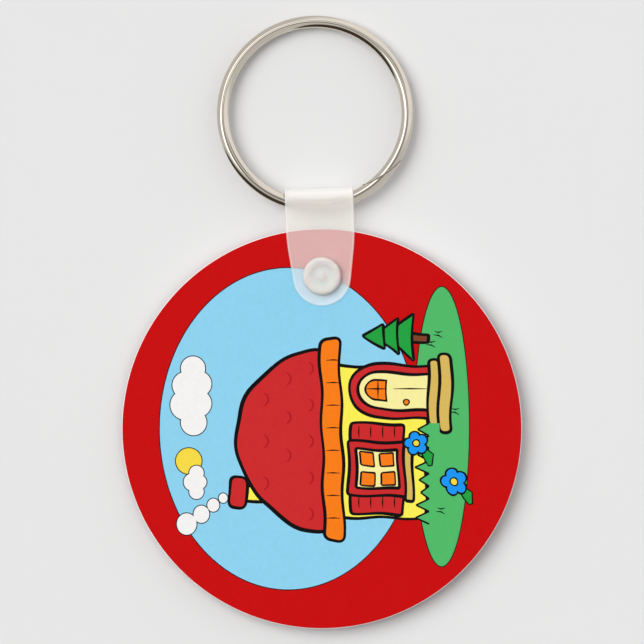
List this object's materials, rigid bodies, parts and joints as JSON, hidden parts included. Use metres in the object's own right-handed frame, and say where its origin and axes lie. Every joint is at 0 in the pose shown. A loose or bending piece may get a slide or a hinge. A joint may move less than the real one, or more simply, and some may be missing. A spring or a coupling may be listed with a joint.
{
  "type": "key chain",
  "caption": "Round printed disc key chain with a folded translucent snap strap and a two-turn split ring.",
  "frame": {"origin": "centre of the back cap's flat outer face, on the axis of the snap", "axes": "+Z out of the printed face, +Y from the disc to the split ring, -Z out of the back cap's face"},
  "size_m": [0.0572, 0.0877, 0.0046],
  "materials": {
    "core": "white, smooth moulded edge",
    "print": "glossy printed coat",
    "strap": "translucent soft vinyl",
    "snap": "milky moulded plastic",
    "ring": "bright nickel plate"
  },
  "bodies": {
    "disc": {"disc_core": "core", "front_print": "print", "back_coat": "print"},
    "strap_back": {"strap_back": "strap", "snap_socket": "snap", "snap_cap_back": "snap"},
    "strap_front": {"strap_front": "strap", "snap_cap_front": "snap", "snap_stud": "snap"},
    "ring": {"split_ring": "ring"}
  },
  "joints": [
    {"name": "strap_swivel", "type": "hinge", "parent": "disc", "child": "strap_back", "pos_m": [0, 0, 0.00213], "axis": [0, 0, 1], "range_deg": [-25, 25]},
    {"name": "flap_open", "type": "hinge", "parent": "strap_back", "child": "strap_front", "pos_m": [-0.00029, 0.00822, 0.00368], "axis": [-0.9994, -0.0358, 0], "range_deg": [0, 100]},
    {"name": "ring_swing", "type": "hinge", "parent": "strap_back", "child": "ring", "pos_m": [-0.00038, 0.01061, 0.00213], "axis": [0.9994, 0.0358, 0], "range_deg": [-112, 112]}
  ]
}
